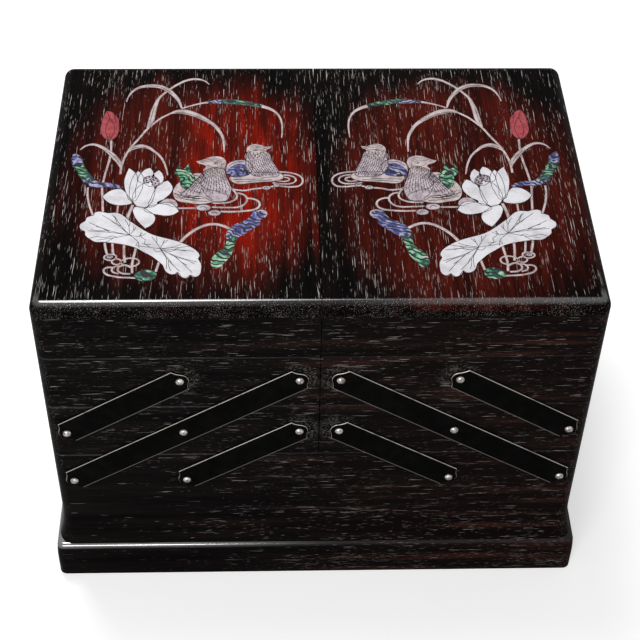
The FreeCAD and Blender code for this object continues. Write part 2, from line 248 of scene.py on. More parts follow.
class Paint:
    """A new material: its node tree, its principled shader and the place of each point."""

    def __init__(self, name: str, constants: dict) -> None:
        """Make the material.

        Args:
            name: The material's name.
            constants: Values of the shader's sockets that are the same all over the surface.
        """
        self.material = bpy.data.materials.new(name)
        self.material.use_nodes = True
        self.tree = self.material.node_tree
        self.shader = self.tree.nodes["Principled BSDF"]
        for socket, value in constants.items():
            self.shader.inputs[socket].default_value = value
        self.place = self.start("TexCoord", "Object")

    def start(self, kind: str, output: str) -> Signal:
        """Return an output of a new node that has no inputs of its own."""
        return Signal(self.tree, self.tree.nodes.new("ShaderNode" + kind).outputs[output])

    def mm(self, axis: str) -> Signal:
        """Return one coordinate, "X", "Y" or "Z", of each point in millimetres."""
        return self.place.part(axis) * (1 / MM)

    def noise(self, lumps: Sequence[float], detail: float = 2.0, roughness: float = 0.5) -> Signal:
        """Return smooth noise from 0 to 1, with the given number of lumps to a metre along each axis."""
        return self.place.scaled(lumps).noise(detail, roughness)

    def feed(self, **signals: Signal) -> None:
        """Link signals to the shader's sockets, with "_" for a space in a socket's name."""
        for socket, signal in signals.items():
            self.tree.links.new(signal.socket, self.shader.inputs[socket.replace("_", " ")])

    def bump(self, height: Signal, strength: float, depth: float) -> None:
        """Roughen the surface by a height from 0 to 1, with its depth in millimetres."""
        values = {"Strength": strength, "Distance": depth * MM, "Height": height}
        self.feed(Normal=height.node("Bump", {}, values))


# Finishes


class Grain(Enum):
    """The direction in which a piece's grain runs, as its axis number."""

    ACROSS = 0
    DEEP = 1


@dataclass(frozen=True)
class Lacquer:
    """Dark open-pored hardwood with pale filled pores, under satin lacquer with a coat on its eased edges
    that paints their highlights.

    Lengths and places are in millimetres. The pores sway along one axis and are shifted row by row, so
    that they don't line up.
    """

    name: str
    grain: Grain
    ground: Colour = (0.0026, 0.0023, 0.0025)
    streak: Colour = (0.0088, 0.0066, 0.0060)
    rust: Colour = (0.054, 0.0150, 0.0095)
    pore: Colour = (0.54, 0.48, 0.46)
    scuff: Colour = (0.065, 0.060, 0.054)
    pore_length: float = 10.0
    pore_width: float = 0.29
    pore_share: float = 0.50
    sway_axis: int = 2
    gloss: float = 0.012
    coat_roughness: float = 0.15
    coat_index: float = 2.6
    pore_depth: float = 0.1
    rims: tuple[float, ...] = (105.15, 145.65, 184.15)
    rim_reach: float = 0.34
    # share of the painted highlight coat on the eased rims
    rim_highlight_coat: float = 0.13
    scuff_reach: Span = (13.0, 8.0)
    sway: float = 1.0
    sway_length: float = 9.0
    row_shift: float = 7.0
    row_length: float = 260.0
    nose: Span = (23.8, 25.8)
    nose_top: float = 27.6

    def stretched(self, paint: Paint, length: float, width: float, seed: float) -> Signal:
        """Return the place of each point in cells that are long with the grain, in millimetres."""
        factors = [1 / (width * MM)] * 3
        factors[self.grain.value] = 1 / (length * MM)
        return paint.place.scaled(factors, (seed, seed * 1.7, seed * 2.3))

    def pores(self, paint: Paint, length: float, width: float, share: Signal, seed: float) -> Signal:
        """Return 1 in the filled pores and 0 between them.

        Args:
            paint: The material.
            length: Length of the cell of one pore, in millimetres.
            width: Width of that cell, in millimetres.
            share: Share of the cells that have a pore, from 0 to 1.
            seed: Offset that makes one set of pores differ from another.

        Returns:
            The mask, with soft ends and edges.
        """
        waves = paint.place.scaled([1 / (self.sway_length * MM)] * 3, (seed, seed, seed)).noise(1.0)
        bend = [0.0] * 3
        bend[self.sway_axis] = self.sway / width
        swayed = waves.sibling("Color").scaled(bend, self.stretched(paint, length, width, seed))
        rows = self.stretched(paint, self.row_length, width * 2.5, seed + 5.0).noise(1.0)
        shift = [0.0] * 3
        shift[self.grain.value] = self.row_shift
        cells = rows.sibling("Color").scaled(shift, swayed)
        settings = {"voronoi_dimensions": "3D", "feature": "F1"}
        centre = cells.node("TexVoronoi", settings, {"Vector": cells, "Scale": 1.0, "Randomness": 1.0})
        chance = centre.sibling("Color")
        present = (share - chance.part("X")).ramp(0.0, 0.02)
        size = chance.part("Y") ** 1.5 * 0.26 + 0.16
        return (size - centre).ramp(0.0, 0.20) * present * (chance.part("Z") * 0.65 + 0.35)

    def painted_highlight_coat(self, paint: Paint) -> Signal:
        """Return a painted highlight: a coat on the plinth's nose and the eased rims, weighted strongest on
        the left so that the highlights fade to the right.
        """
        z = paint.mm("Z")
        # painted highlight: the coat weight falls off from left to right, as the highlights do
        left = paint.place.part("X").ramp(0.02, -0.10)
        mask = z.ramp(*self.nose) * z.ramp(self.nose_top + 0.1, self.nose_top) * (left * 0.92 + 0.08)
        for level in self.rims:
            rim = abs(z - level).ramp(self.rim_reach, self.rim_reach - 0.06)
            mask = mask.at_least(rim * (left * 0.6 + 0.4) * self.rim_highlight_coat)
        return mask

    def scuffs(self, paint: Paint) -> Signal:
        """Return where the arms' inner noses have rubbed the lacquer to a pale speckle."""
        x = abs(paint.mm("X"))
        z = paint.mm("Z")
        speckle = paint.noise((1100, 1100, 1100), 2.0).ramp(0.50, 0.62)
        marks = [distance(x, z, nose).ramp(*self.scuff_reach) for nose in LINKAGE.noses()]
        return reduce(Signal.at_least, marks) * speckle

    def ground_colour(self, paint: Paint, streaks: Signal, bands: Signal) -> Signal:
        """Return the wood between the pores: near black, and browner with rusty streaks to the right."""
        right = paint.place.part("X").ramp(-0.10, 0.16)
        rusty = (bands.ramp(0.52, 0.70) * right * 0.60 + right * 0.05).at_most(1.0)
        return rusty.tint(streaks.tint(self.ground, self.streak), self.rust)

    def share(self, paint: Paint, bands: Signal) -> Signal:
        """Return the share of the cells that have a pore."""
        patches = paint.noise((35, 35, 60), 2.0).ramp(0.40, 0.62)
        low = paint.place.part("Z").ramp(0.135, 0.075)
        plain = paint.place.part("X").ramp(0.02, -0.11) * low * 0.85
        return (bands.ramp(0.38, 0.62) * 0.5 + 0.5) * (patches * 0.5 + 0.5) * (1 - plain) * self.pore_share

    def material(self) -> Material:
        """Return the finished material."""
        coat = {"Coat Roughness": self.coat_roughness, "Coat IOR": self.coat_index}
        paint = Paint(self.name, {"Specular IOR Level": self.gloss, **coat})
        bands = self.stretched(paint, length=120.0, width=7.0, seed=3.0).noise(3.0, 0.6)
        fine = self.stretched(paint, length=22.0, width=0.5, seed=5.0).noise(2.0, 0.6)
        share = self.share(paint, bands)
        long_pores = self.pores(paint, self.pore_length, self.pore_width, share, 11.0)
        short_pores = self.pores(paint, self.pore_length / 2, self.pore_width * 0.85, share, 29.0)
        pores = long_pores.at_least(short_pores * 0.8)
        streaks = (bands * 0.55 + fine * 0.45).ramp(0.38, 0.66)
        ground = self.scuffs(paint).tint(self.ground_colour(paint, streaks, bands), self.scuff)
        paint.feed(Base_Color=pores.tint(ground, self.pore))
        paint.feed(Roughness=pores.ramp(0, 1, 0.30, 0.48))
        # painted highlight: the coat weight from the highlight mask puts highlights on the edges
        paint.feed(Coat_Weight=self.painted_highlight_coat(paint) * (fine.ramp(0.30, 0.45) * 0.5 + 0.5))
        paint.bump(1 - pores, 0.3, self.pore_depth)
        return paint.material


@dataclass(frozen=True)
class LidLacquer(Lacquer):
    """The lids' finish: a red burst under the lacquer, and longer, paler pores."""

    ground: Colour = (0.0009, 0.0007, 0.0007)
    streak: Colour = (0.0060, 0.0034, 0.0030)
    pore: Colour = (0.80, 0.73, 0.69)
    pore_length: float = 14.0
    pore_width: float = 0.40
    pore_share: float = 0.52
    sway_axis: int = 0
    deep_red: Colour = (0.022, 0.0030, 0.0020)
    bright_red: Colour = (0.40, 0.0115, 0.0028)
    dull_red: Colour = (0.092, 0.0088, 0.0046)
    rounding: Span = (220.5, 222.2)
    sprayed: Span = (217.0, 219.0)
    top: float = 222.6
    left_burst: tuple[Point, Point] = ((-66.0, -2.0), (78.0, 100.0))
    right_burst: tuple[Point, Point] = ((80.0, -12.0), (74.0, 104.0))
    flame_burst: tuple[Point, Point] = ((-40.0, 0.0), (50.0, 90.0))

    def spread(self, paint: Paint, burst: tuple[Point, Point]) -> Signal:
        """Return how far each point is from a burst's centre, 0 there and about 1 at its reach."""
        centre, reach = burst
        across = abs((paint.mm("X") - centre[0]) / reach[0]) ** 2.4
        along = abs((paint.mm("Y") - centre[1]) / reach[1]) ** 2.6
        return across + along

    def share(self, paint: Paint, bands: Signal) -> Signal:
        """Return the share of the cells that have a pore."""
        patches = paint.noise((55, 40, 40), 2.0).ramp(0.36, 0.58)
        return (bands.ramp(0.36, 0.60) * 0.5 + 0.5) * (patches * 0.6 + 0.4) * self.pore_share

    def ground_colour(self, paint: Paint, streaks: Signal, bands: Signal) -> Signal:
        """Return near-black wood with the red burst, brighter on the left lid."""
        ragged = (self.stretched(paint, length=60.0, width=9.0, seed=17.0).noise(3.0) - 0.5) * 0.9
        left = (self.spread(paint, self.left_burst) + ragged).ramp(1.05, 0.30)
        right = (self.spread(paint, self.right_burst) + ragged).ramp(1.10, 0.35)
        middle = (self.spread(paint, self.flame_burst) + ragged * 1.5).ramp(1.0, -0.1)
        side = paint.mm("X").ramp(-0.5, 0.5)
        upper = paint.mm("Z").ramp(*self.sprayed)
        left, right = left * upper, right * upper
        black = streaks.tint(self.ground, self.streak)
        red = streaks.tint(self.deep_red, self.dull_red)
        blotches = self.stretched(paint, length=46.0, width=7.0, seed=41.0).noise(2.0).ramp(0.40, 0.66)
        flame = middle * (blotches * 0.8 + 0.2) * (streaks * 0.7 + 0.3)
        return side.tint(left.tint(black, flame.tint(red, self.bright_red)), (right * 0.9).tint(black, red))

    def painted_highlight_coat(self, paint: Paint) -> Signal:
        """Return a painted highlight: a coat along the rounded edges, weighted to the lids' front and their
        outer ends, where the highlights show.
        """
        z = paint.mm("Z")
        # painted highlight: the coat is kept to the front edge and grows towards the lids' outer ends
        front = paint.place.part("Y").ramp(-0.090, -0.098, 0.03, 1.0)
        ends = abs(paint.place.part("X")).ramp(0.0, 0.11, 0.14, 0.46)
        return z.ramp(*self.rounding) * z.ramp(self.top - 0.01, self.top - 0.12) * front * ends


@dataclass(frozen=True)
class Metal:
    """A metal with fine scratches and a patchy tarnish, and on a dome painted shade that darkens its foot
    against a lighter crown.
    """

    name: str
    bright: Colour
    dull: Colour
    roughness: float
    foot: float = 0.0
    crown: float = 0.0

    def material(self) -> Material:
        """Return the finished material."""
        paint = Paint(self.name, {"Metallic": 1.0})
        patches = paint.noise((700, 700, 700), 4.0, 0.65)
        scratches = paint.noise((4000, 900, 2500), 3.0, 0.6)
        untarnished_and_lit = patches.ramp(0.38, 0.62)
        # painted shade: a dome is darker at its foot and lighter at its crown
        if self.crown:
            untarnished_and_lit = untarnished_and_lit * abs(paint.mm("Y")).ramp(self.foot, self.crown)
        paint.feed(Base_Color=untarnished_and_lit.tint(self.dull, self.bright))
        paint.feed(Roughness=(patches * 0.25 + scratches * 0.2 - 0.2) + self.roughness)
        paint.bump(scratches, 0.12, 0.05)
        return paint.material


@dataclass(frozen=True)
class Blacking:
    """Blackened iron, worn bright on its eased edges, with a painted highlight line along each arm's lower
    edge.
    """

    name: str
    black: Colour = (0.0016, 0.0016, 0.0015)
    scuffed: Colour = (0.0036, 0.0034, 0.0030)
    worn_and_highlight: Colour = (0.42, 0.40, 0.37)
    face: float = 105.4
    line_rise: float = 0.40
    line_reach: Span = (0.38, 0.22)
    # strength of the painted highlight line along each arm's lower edge
    painted_line_share: float = 0.34

    def marks(self, paint: Paint) -> Signal:
        """Return a painted highlight: a thin bright line along the lower edge of each arm."""
        height = LINKAGE.heights(abs(paint.mm("X")), paint.mm("Z"))
        gaps = [abs(height - (level + self.line_rise)) for level in LINKAGE.lower_edges()]
        return reduce(Signal.at_most, gaps).ramp(*self.line_reach) * self.painted_line_share

    def material(self) -> Material:
        """Return the finished material."""
        paint = Paint(self.name, {"Specular IOR Level": 0.012})
        y = abs(paint.mm("Y"))
        patches = paint.noise((120, 120, 120), 4.0, 0.65)
        scratches = paint.noise((2500, 900, 900), 3.0, 0.6)
        band = y.ramp(self.face - 0.03, self.face - 0.08) * y.ramp(self.face - 0.48, self.face - 0.36)
        # worn eased edges, and the painted highlight line along the arms' lower edges
        edge = (band * patches.ramp(0.30, 0.50, 0.55, 1.0)).at_least(self.marks(paint))
        paint.feed(Base_Color=edge.tint(patches.ramp(0.4, 0.7).tint(self.black, self.scuffed), self.worn_and_highlight))
        paint.feed(Metallic=edge)
        paint.feed(Roughness=edge.ramp(0, 1, 0.45, 0.34) + scratches * 0.1)
        paint.bump(scratches, 0.10, 0.04)
        return paint.material


class Shell(Enum):
    """The materials that the inlay is cut from."""

    PEARL = "pearl"
    FEATHER = "feather_shell"
    REED = "reed_shell"
    ABALONE = "abalone"
    CORAL = "coral"
    ENGRAVING = "engraving"


@dataclass(frozen=True)
class Mottled:
    """A shell, coral or filler with soft patches between two colours."""

    name: str
    low: Colour
    high: Colour
    patch: float
    roughness: float = 0.38
    sheen: float = 0.25

    def material(self) -> Material:
        """Return the finished material."""
        paint = Paint(self.name, {"Specular IOR Level": self.sheen})
        patches = paint.noise([1 / (self.patch * MM)] * 3, 3.0, 0.6)
        fibres = paint.noise((900, 2600, 900), 2.0)
        paint.feed(Base_Color=(patches * 0.75 + fibres * 0.25).ramp(0.34, 0.62).tint(self.low, self.high))
        paint.feed(Roughness=fibres * 0.16 + (self.roughness - 0.08))
        return paint.material


@dataclass(frozen=True)
class Abalone:
    """Abalone shell: blue-violet and green patches crossed by dark wavy lines.

    Each spot is a place (|x|, y) in millimetres, its reach, and how far it moves the hue: below 0 towards
    violet, above 0 towards green.
    """

    name: str
    patch: float = 9.0
    spacing: float = 3.6
    line: Colour = (0.004, 0.005, 0.012)
    spots: tuple[tuple[float, float, float, float], ...] = (
        (40, -38, 20, -0.34), (53, -66, 20, 0.22), (137, 18, 12, -0.30), (132, 2, 9, 0.16),
        (116, -9, 12, -0.34), (44, 4, 12, -0.34), (74, -1, 14, 0.20), (91, -81, 10, 0.14),
        (58, 67, 9, -0.12), (42, 66, 9, 0.10),
    )
    colours: tuple[tuple[float, Colour], ...] = (
        (0.08, (0.045, 0.050, 0.190)),
        (0.20, (0.190, 0.190, 0.450)),
        (0.33, (0.470, 0.460, 0.640)),
        (0.44, (0.016, 0.030, 0.070)),
        (0.54, (0.012, 0.050, 0.040)),
        (0.64, (0.050, 0.260, 0.130)),
        (0.76, (0.230, 0.500, 0.300)),
        (0.88, (0.550, 0.580, 0.480)),
    )

    def material(self) -> Material:
        """Return the finished material."""
        paint = Paint(self.name, {"Specular IOR Level": 0.25, "Roughness": 0.3})
        x = abs(paint.mm("X"))
        y = paint.mm("Y")
        place = paint.place.scaled([1 / (self.patch * MM)] * 3)
        flow = place.noise(2.0).sibling("Color").scaled((1.6, 1.6, 1.6), place)
        hue = (flow.scaled((2.0, 2.0, 2.0)).noise(2.0) - 0.5) * 1.1 + 0.5
        for across, along, reach, change in self.spots:
            hue = hue + distance(x, y, (across, along)).ramp(reach, reach * 0.4) * change
        waves = (flow.part("X") * 0.5 + flow.part("Y")) * (math.tau * self.patch / self.spacing)
        lines = waves.maths("SINE", waves).ramp(0.18, 0.34)
        paint.feed(Base_Color=lines.tint(hue.palette(self.colours), self.line))
        return paint.material


@dataclass(frozen=True)
class Velvet:
    """Short-pile cloth with a nap that lies unevenly."""

    name: str
    deep: Colour = (0.035, 0.0028, 0.0045)
    light: Colour = (0.11, 0.010, 0.014)

    def material(self) -> Material:
        """Return the finished material."""
        sheen = {"Sheen Weight": 0.6, "Sheen Roughness": 0.35, "Specular IOR Level": 0.15, "Roughness": 0.9}
        paint = Paint(self.name, sheen)
        nap = paint.noise((45, 70, 45), 3.0)
        pile = paint.noise((2200, 2200, 2200), 2.0)
        paint.feed(Base_Color=(nap * 0.7 + pile * 0.3).ramp(0.3, 0.7).tint(self.deep, self.light))
        paint.bump(pile, 0.5, 0.3)
        return paint.material


def made(finish: "Lacquer | Metal | Blacking | Velvet") -> Material:
    """Return a field's default: the material of a finish, which is made when the field is filled."""
    return field(default_factory=finish.material)


def make_inlay() -> dict[Shell, Material]:
    """Return the materials that the inlay is cut from."""
    finishes = {
        Shell.PEARL: Mottled("white_pearl", (0.58, 0.565, 0.60), (0.79, 0.78, 0.82), 9.0),
        Shell.FEATHER: Mottled("grey_pearl", (0.27, 0.215, 0.245), (0.56, 0.48, 0.52), 4.0),
        Shell.REED: Mottled("rosy_pearl", (0.33, 0.255, 0.255), (0.62, 0.52, 0.525), 6.0),
        Shell.ABALONE: Abalone("abalone"),
        Shell.CORAL: Mottled("coral", (0.23, 0.018, 0.022), (0.42, 0.060, 0.075), 3.5),
        Shell.ENGRAVING: Mottled("engraving", (0.008, 0.006, 0.007), (0.026, 0.021, 0.022), 2.0, 0.6, 0.1),
    }
    return {shell: finish.material() for shell, finish in finishes.items()}


@dataclass(frozen=True)
class Finishes:
    """Every finish of the box, made once."""

    deep_wood: Material = made(Lacquer("wood_deep_grain", Grain.DEEP))
    across_wood: Material = made(Lacquer("wood_across_grain", Grain.ACROSS))
    lid_wood: Material = made(LidLacquer("wood_lid_burst", Grain.DEEP))
    arm_metal: Material = made(Blacking("blackened_iron"))
    pin_metal: Material = made(
        Metal("nickel", (0.66, 0.62, 0.60), (0.22, 0.19, 0.18), 0.24, foot=105.6, crown=106.5))
    hinge_brass: Material = made(Metal("brass", (0.55, 0.40, 0.17), (0.26, 0.18, 0.08), 0.32))
    velvet: Material = made(Velvet("velvet"))
    inlay: dict[Shell, Material] = field(default_factory=make_inlay)


# Modelling


def deselect() -> None:
    """Leave nothing selected, so that the next operator acts on its own piece alone."""
    if bpy.context.object and bpy.context.object.mode != "OBJECT":
        bpy.ops.object.mode_set(mode="OBJECT")
    bpy.ops.object.select_all(action="DESELECT")


def pick(pieces: Iterable[Piece]) -> None:
    """Select these pieces alone, and make the last of them active."""
    deselect()
    for piece in pieces:
        piece.select_set(True)
        bpy.context.view_layer.objects.active = piece


@contextmanager
def editing(piece: Piece) -> Iterator[None]:
    """Edit a piece's mesh, all selected, for the length of a with block."""
    pick([piece])
    bpy.ops.object.mode_set(mode="EDIT")
    bpy.ops.mesh.select_all(action="SELECT")
    yield
    bpy.ops.object.mode_set(mode="OBJECT")


def settle(piece: Piece) -> None:
    """Move a piece's place, turn and scale into its mesh."""
    pick([piece])
    bpy.ops.object.transform_apply(location=True, rotation=True, scale=True)


def copied(piece: Piece, move: Matrix) -> Piece:
    """Return a copy of a piece with its own mesh, moved and turned in its mesh."""
    pick([piece])
    bpy.ops.object.duplicate()
    copy = bpy.context.object
    copy.matrix_world = move @ copy.matrix_world
    settle(copy)
    return copy


def joined(pieces: Sequence[Piece], name: str) -> Piece:
    """Join pieces into one, and return it under a new name."""
    pick(pieces)
    if len(pieces) > 1:
        bpy.ops.object.join()
    piece = bpy.context.object
    piece.name = name
    piece.data.name = name
    return piece


def finish(piece: Piece, material: Material, body: str, slot: str) -> Piece:
    """Give a new piece its finish and the body that it rides on."""
    piece.data.materials.clear()
    piece.data.materials.append(material)
    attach(piece, body)
    log.info("%s rides on %s", piece.name, body)
    return piece


def outwards(piece: Piece) -> None:
    """Close a piece's seams and turn its faces outwards."""
    with editing(piece):
        bpy.ops.mesh.remove_doubles(threshold=0.001 * MM)
        bpy.ops.mesh.normals_make_consistent(inside=False)


@dataclass
class Pivots:
    """The domed pins that the arms turn on, in millimetres."""

    head: float = 5.0
    head_height: float = 1.6
    shank: float = 2.6
    face: float = 104.0
    seat: float = 1.55
    depth: float = 4.0
    segments: int = 24
    rings: int = 12
    crease: float = 50.0

    def groups(self) -> dict[str, list[Point]]:
        """Return the pins of each CAD node as (x, z) places."""
        inner, middle, outer = LINKAGE.columns()
        levels = LINKAGE.levels()
        groups = {"base_pivot_pins": [(side * x, levels[0]) for side in (-1, 1) for x in (middle, outer)]}
        for name, side in (("left", -1), ("right", 1)):
            groups[name + "_lower_tray_pivot_pins"] = [(side * x, levels[1]) for x in (inner, middle, outer)]
            groups[name + "_upper_tray_pivot_pins"] = [(side * x, levels[2]) for x in (inner, middle)]
        return groups

    def one_pin(self) -> Piece:
        """Return a pin on the line of Y through the origin, its dome towards -Y and its seat at 0."""
        deselect()
        bpy.ops.mesh.primitive_uv_sphere_add(segments=self.segments, ring_count=self.rings, radius=1)
        dome = bpy.context.object
        with editing(dome):
            bpy.ops.mesh.bisect(plane_co=(0, 0, 0), plane_no=(0, 0, 1), use_fill=True, clear_inner=True)
        dome.scale = (self.head / 2 * MM, self.head / 2 * MM, self.head_height * MM)
        settle(dome)
        bpy.ops.object.shade_smooth_by_angle(angle=math.radians(self.crease))
        deselect()
        bpy.ops.mesh.primitive_cylinder_add(
            vertices=self.segments,
            radius=self.shank / 2 * MM,
            depth=self.depth * MM,
            end_fill_type="NOTHING",
            location=(0, 0, -self.depth / 2 * MM),
        )
        shank = bpy.context.object
        settle(shank)
        pin = joined([shank, dome], "pin")
        pin.matrix_world = Matrix.Rotation(math.radians(90), 4, "X")
        settle(pin)
        return pin

    def build(self, finishes: Finishes) -> None:
        """Model the pins of every group, front and back."""
        pattern = self.one_pin()
        for node, places in self.groups().items():
            pins = []
            for x, z in places:
                for turn in (0, 180):
                    spin = Matrix.Rotation(math.radians(turn), 4, "Z")
                    depth = (self.face + self.seat) * MM * (1 if turn else -1)
                    pins.append(copied(pattern, Matrix.Translation((x * MM, depth, z * MM)) @ spin))
            group = joined(pins, node + "_domed")
            body = "base" if node.startswith("base") else node.replace("_pivot_pins", "")
            finish(group, finishes.pin_metal, body, "pin_metal")
            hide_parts(node)
        bpy.data.objects.remove(pattern)


@dataclass
class Linings:
    """Velvet pads in the base and the trays, stuffed a little."""

    cell: float = 6.0
    margin: float = 0.9
    flat_share: float = 0.8
    held_depth: float = 0.5
    swell: float = 1.3
    pressure: float = 4.0
    quality: int = 6
    frames: int = 16
    bodies: tuple[str, ...] = (
        "base", "left_lower_tray", "left_upper_tray", "right_lower_tray", "right_upper_tray")

    def pad(self, node: str) -> Piece:
        """Return a flat pad in the place of a CAD lining, gridded on both faces."""
        low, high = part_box(node)
        size = high - low
        deselect()
        bpy.ops.mesh.primitive_grid_add(
            x_subdivisions=round(size.x / (self.cell * MM)),
            y_subdivisions=round(size.y / (self.cell * MM)),
            size=1,
            location=((low.x + high.x) / 2, (low.y + high.y) / 2, low.z),
        )
        pad = bpy.context.object
        pad.name = node + "_padded"
        pad.scale = (size.x - 2 * self.margin * MM, size.y - 2 * self.margin * MM, 1)
        settle(pad)
        with editing(pad):
            bpy.ops.mesh.flip_normals()
            bpy.ops.mesh.extrude_region_move(
                TRANSFORM_OT_translate={"value": (0, 0, size.z * self.flat_share)})
            bpy.ops.mesh.select_all(action="SELECT")
            bpy.ops.mesh.normals_make_consistent(inside=False)
        return pad

    def stuff(self, pad: Piece, floor: float) -> None:
        """Swell a pad by a cloth simulation, with its underside held."""
        rest = [point.co.copy() for point in pad.data.vertices]
        low = [index for index, place in enumerate(rest) if place.z < floor + self.held_depth * MM]
        held = pad.vertex_groups.new(name="underside")
        held.add(low, 1.0, "REPLACE")
        cloth = pad.modifiers.new("stuffing", "CLOTH")
        cloth.settings.vertex_group_mass = held.name
        cloth.settings.use_pressure = True
        cloth.settings.uniform_pressure_force = self.pressure
        cloth.settings.effector_weights.gravity = 0.0
        cloth.settings.quality = self.quality
        cloth.point_cache.frame_end = self.frames
        scene = bpy.context.scene
        for step in range(1, self.frames + 1):
            scene.frame_set(step)
        pick([pad])
        bpy.ops.object.modifier_apply(modifier=cloth.name)
        scene.frame_set(1)
        limit = self.swell * MM
        for point, start in zip(pad.data.vertices, rest):
            moved = point.co - start
            if moved.length > limit:
                point.co = start + moved.normalized() * limit
            point.co.z = max(point.co.z, floor)

    def build(self, finishes: Finishes) -> None:
        """Model every lining."""
        for body in self.bodies:
            node = body + "_lining"
            pad = self.pad(node)
            self.stuff(pad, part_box(node)[0].z)
            pick([pad])
            smooth = pad.modifiers.new("softness", "SUBSURF")
            smooth.levels = 1
            smooth.render_levels = 1
            bpy.ops.object.modifier_apply(modifier=smooth.name)
            bpy.ops.object.shade_smooth()
            finish(pad, finishes.velvet, body, "lining_cloth")
            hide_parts(node)


def dots(*numbers: float) -> tuple[Point, ...]:
    """Return places on the left lid from numbers in turn: left of the seam, and back from the middle."""
    return tuple((-across, along) for across, along in zip(numbers[::2], numbers[1::2]))


